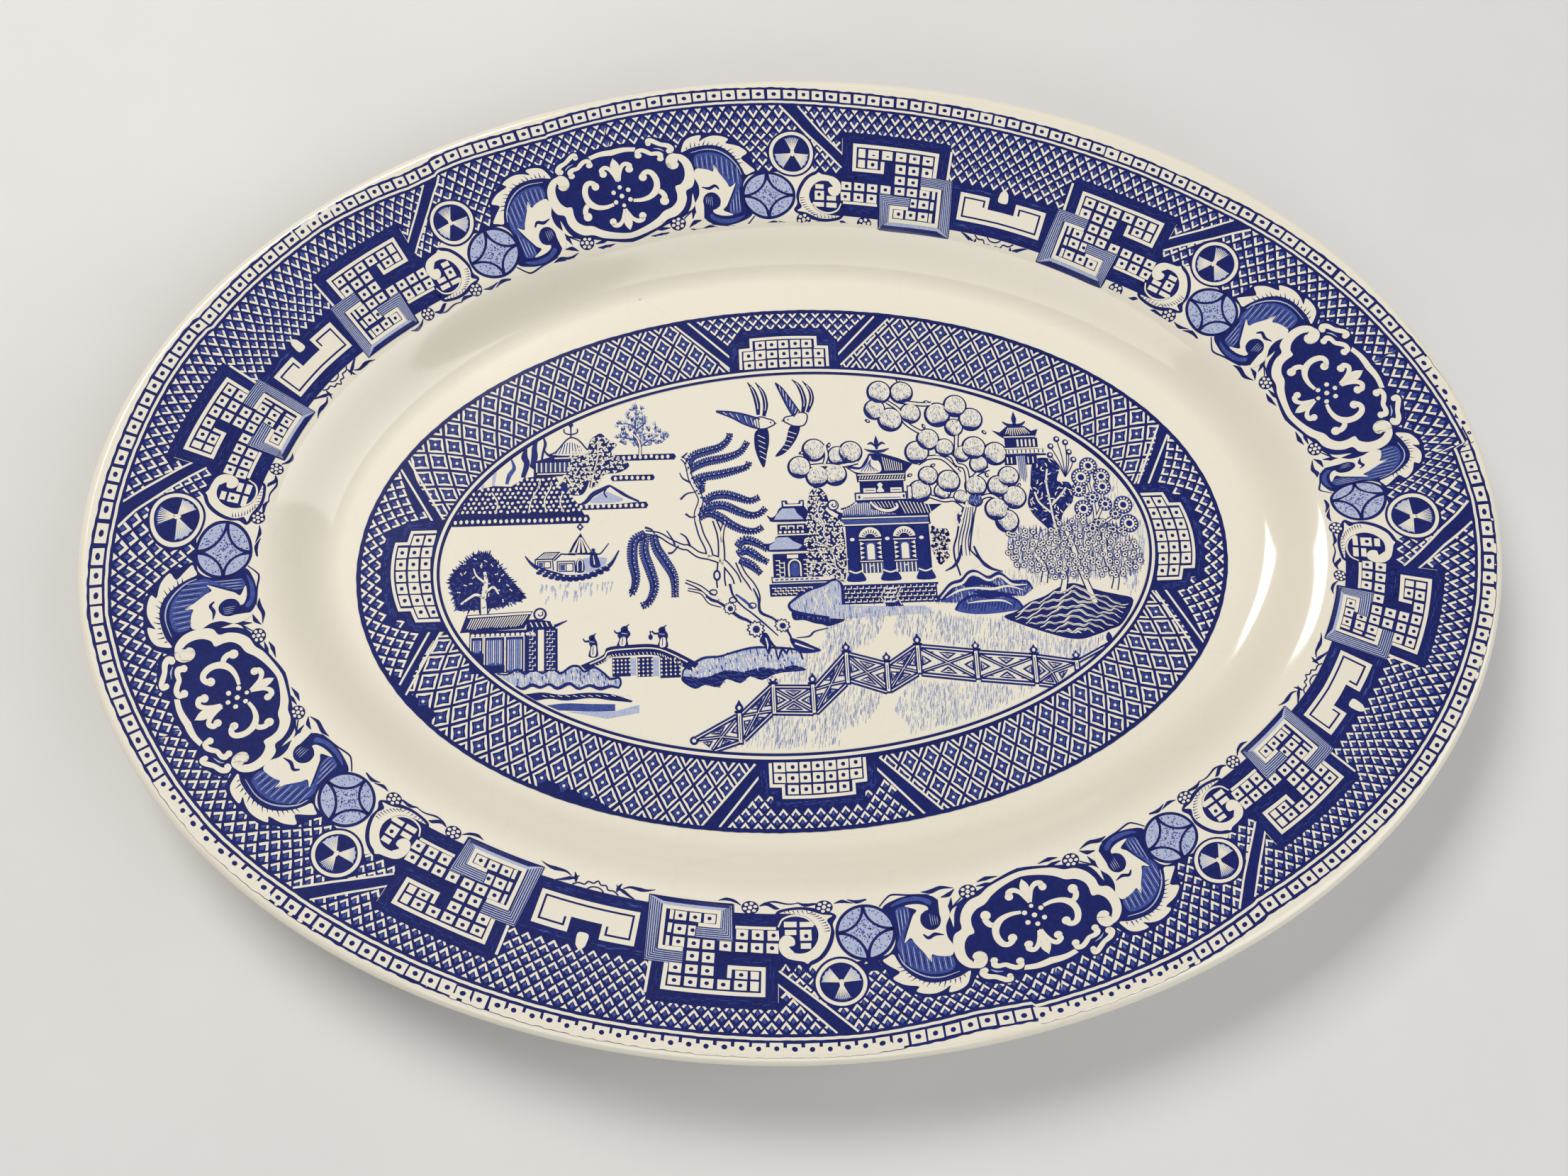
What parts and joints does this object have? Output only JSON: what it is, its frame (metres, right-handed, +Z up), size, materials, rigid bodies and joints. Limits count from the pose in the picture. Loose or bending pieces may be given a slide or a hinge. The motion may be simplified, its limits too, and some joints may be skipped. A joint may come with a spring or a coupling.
{
  "type": "oval serving platter",
  "caption": "Oval fired-earthenware serving platter with a sloping rim, curved wall, flat well and foot ring, printed under the glaze in cobalt blue.",
  "frame": {"origin": "middle of the foot ring's resting plane", "axes": "+X along the long axis, +Y along the short axis, +Z up out of the well"},
  "size_m": [0.352, 0.254, 0.026],
  "materials": {
    "biscuit": "matt fired earthenware, bare on the foot ring",
    "glaze": "glossy clear glaze over a warm cream body",
    "blue_print": "cobalt blue transfer print, glossy under the glaze"
  },
  "bodies": {
    "root": {"platter_body": "biscuit", "glaze_coat": "glaze", "recess_glaze": "glaze", "centre_print": "blue_print", "border_print_1": "blue_print", "border_print_2": "blue_print", "border_print_3": "blue_print", "border_print_4": "blue_print"}
  },
  "joints": []
}
